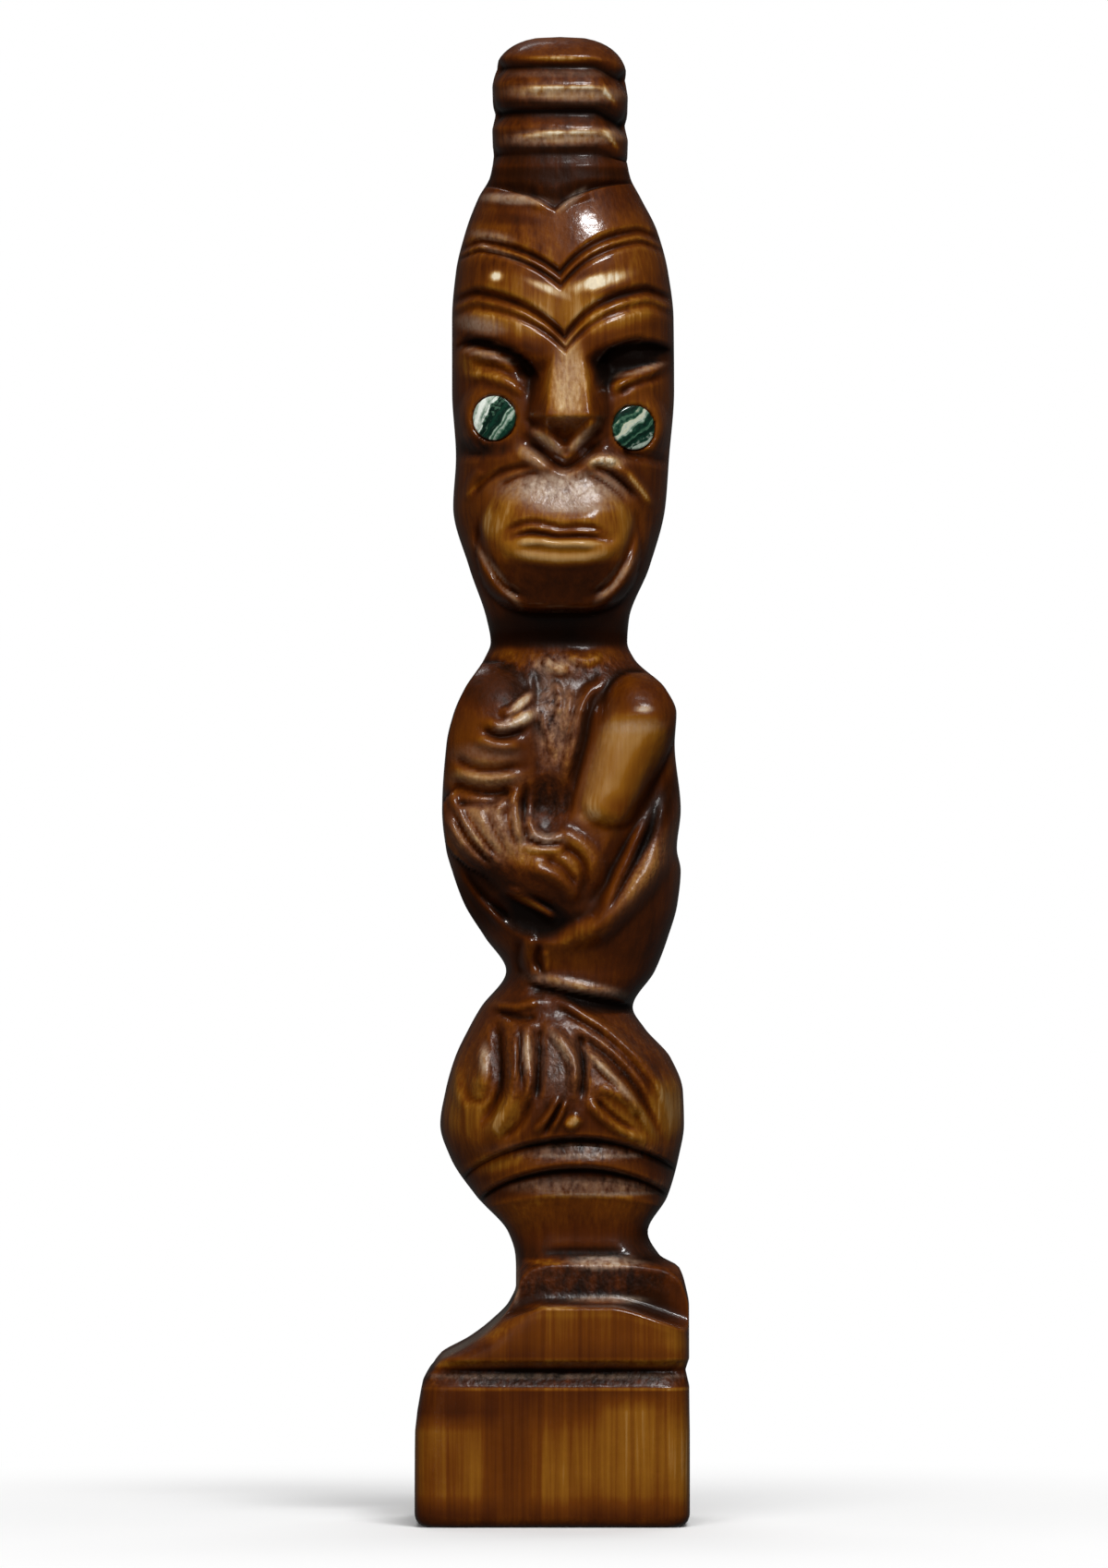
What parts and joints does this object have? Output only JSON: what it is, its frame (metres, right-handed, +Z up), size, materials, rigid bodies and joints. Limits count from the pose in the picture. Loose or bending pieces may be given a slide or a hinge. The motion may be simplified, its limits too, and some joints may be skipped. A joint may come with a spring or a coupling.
{
  "type": "carved tekoteko figure",
  "caption": "Slender carved wooden ancestor figure with a banded topknot and shell disc eyes, standing on its own square block.",
  "frame": {"origin": "middle of the flat underside of the block, at table height", "axes": "+Z up along the figure, the face looks along -Y, +X to the viewer's right"},
  "size_m": [0.0496, 0.0494, 0.2692],
  "materials": {
    "stained_wood": "straight-grained wood with a brown stain, dark in the cuts and golden on the high places, under gloss varnish",
    "paua_shell": "polished green and silver shell, a hard glossy inlay"
  },
  "bodies": {
    "root": {"carved_figure": "stained_wood", "shell_eye_left": "paua_shell", "shell_eye_right": "paua_shell"}
  },
  "joints": []
}
